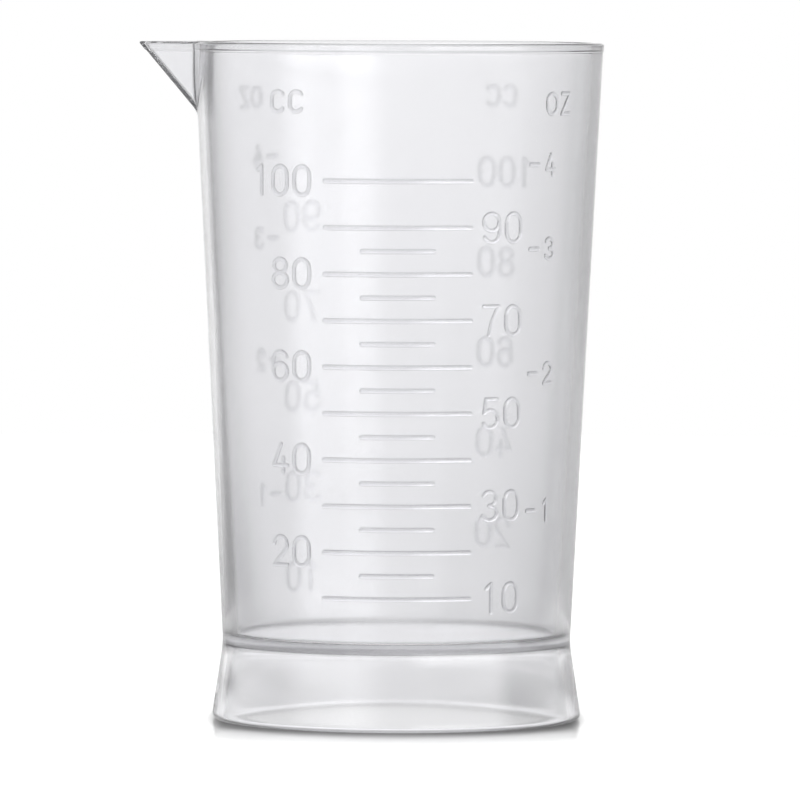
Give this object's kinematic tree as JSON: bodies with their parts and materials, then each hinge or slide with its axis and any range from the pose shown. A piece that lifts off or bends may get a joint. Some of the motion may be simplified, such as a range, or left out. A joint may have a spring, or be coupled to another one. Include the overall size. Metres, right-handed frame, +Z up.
{
  "type": "resin mixing cup",
  "caption": "Clear tapered mixing cup on a flared hollow foot, with a V-shaped pouring spout, a thin rim band and raised volume marks.",
  "frame": {"origin": "centre of the ring that the foot stands on, on the table's plane", "axes": "+Z up along the cup's axis, -X towards the pouring spout, -Y towards the side with the graduation lines"},
  "size_m": [0.0617, 0.0544, 0.0896],
  "materials": {
    "clear_plastic": "clear moulded polypropylene with a slight haze, smooth gloss surface",
    "raised_marks": "the same clear moulded polypropylene, raised from the wall"
  },
  "bodies": {
    "root": {"tapered_wall": "clear_plastic", "rim_band": "clear_plastic", "pouring_spout": "clear_plastic", "cup_floor": "clear_plastic", "foot_skirt": "clear_plastic", "ten_cc_lines": "raised_marks", "five_cc_lines": "raised_marks", "front_ounce_ticks": "raised_marks", "back_ounce_ticks": "raised_marks"}
  },
  "joints": []
}
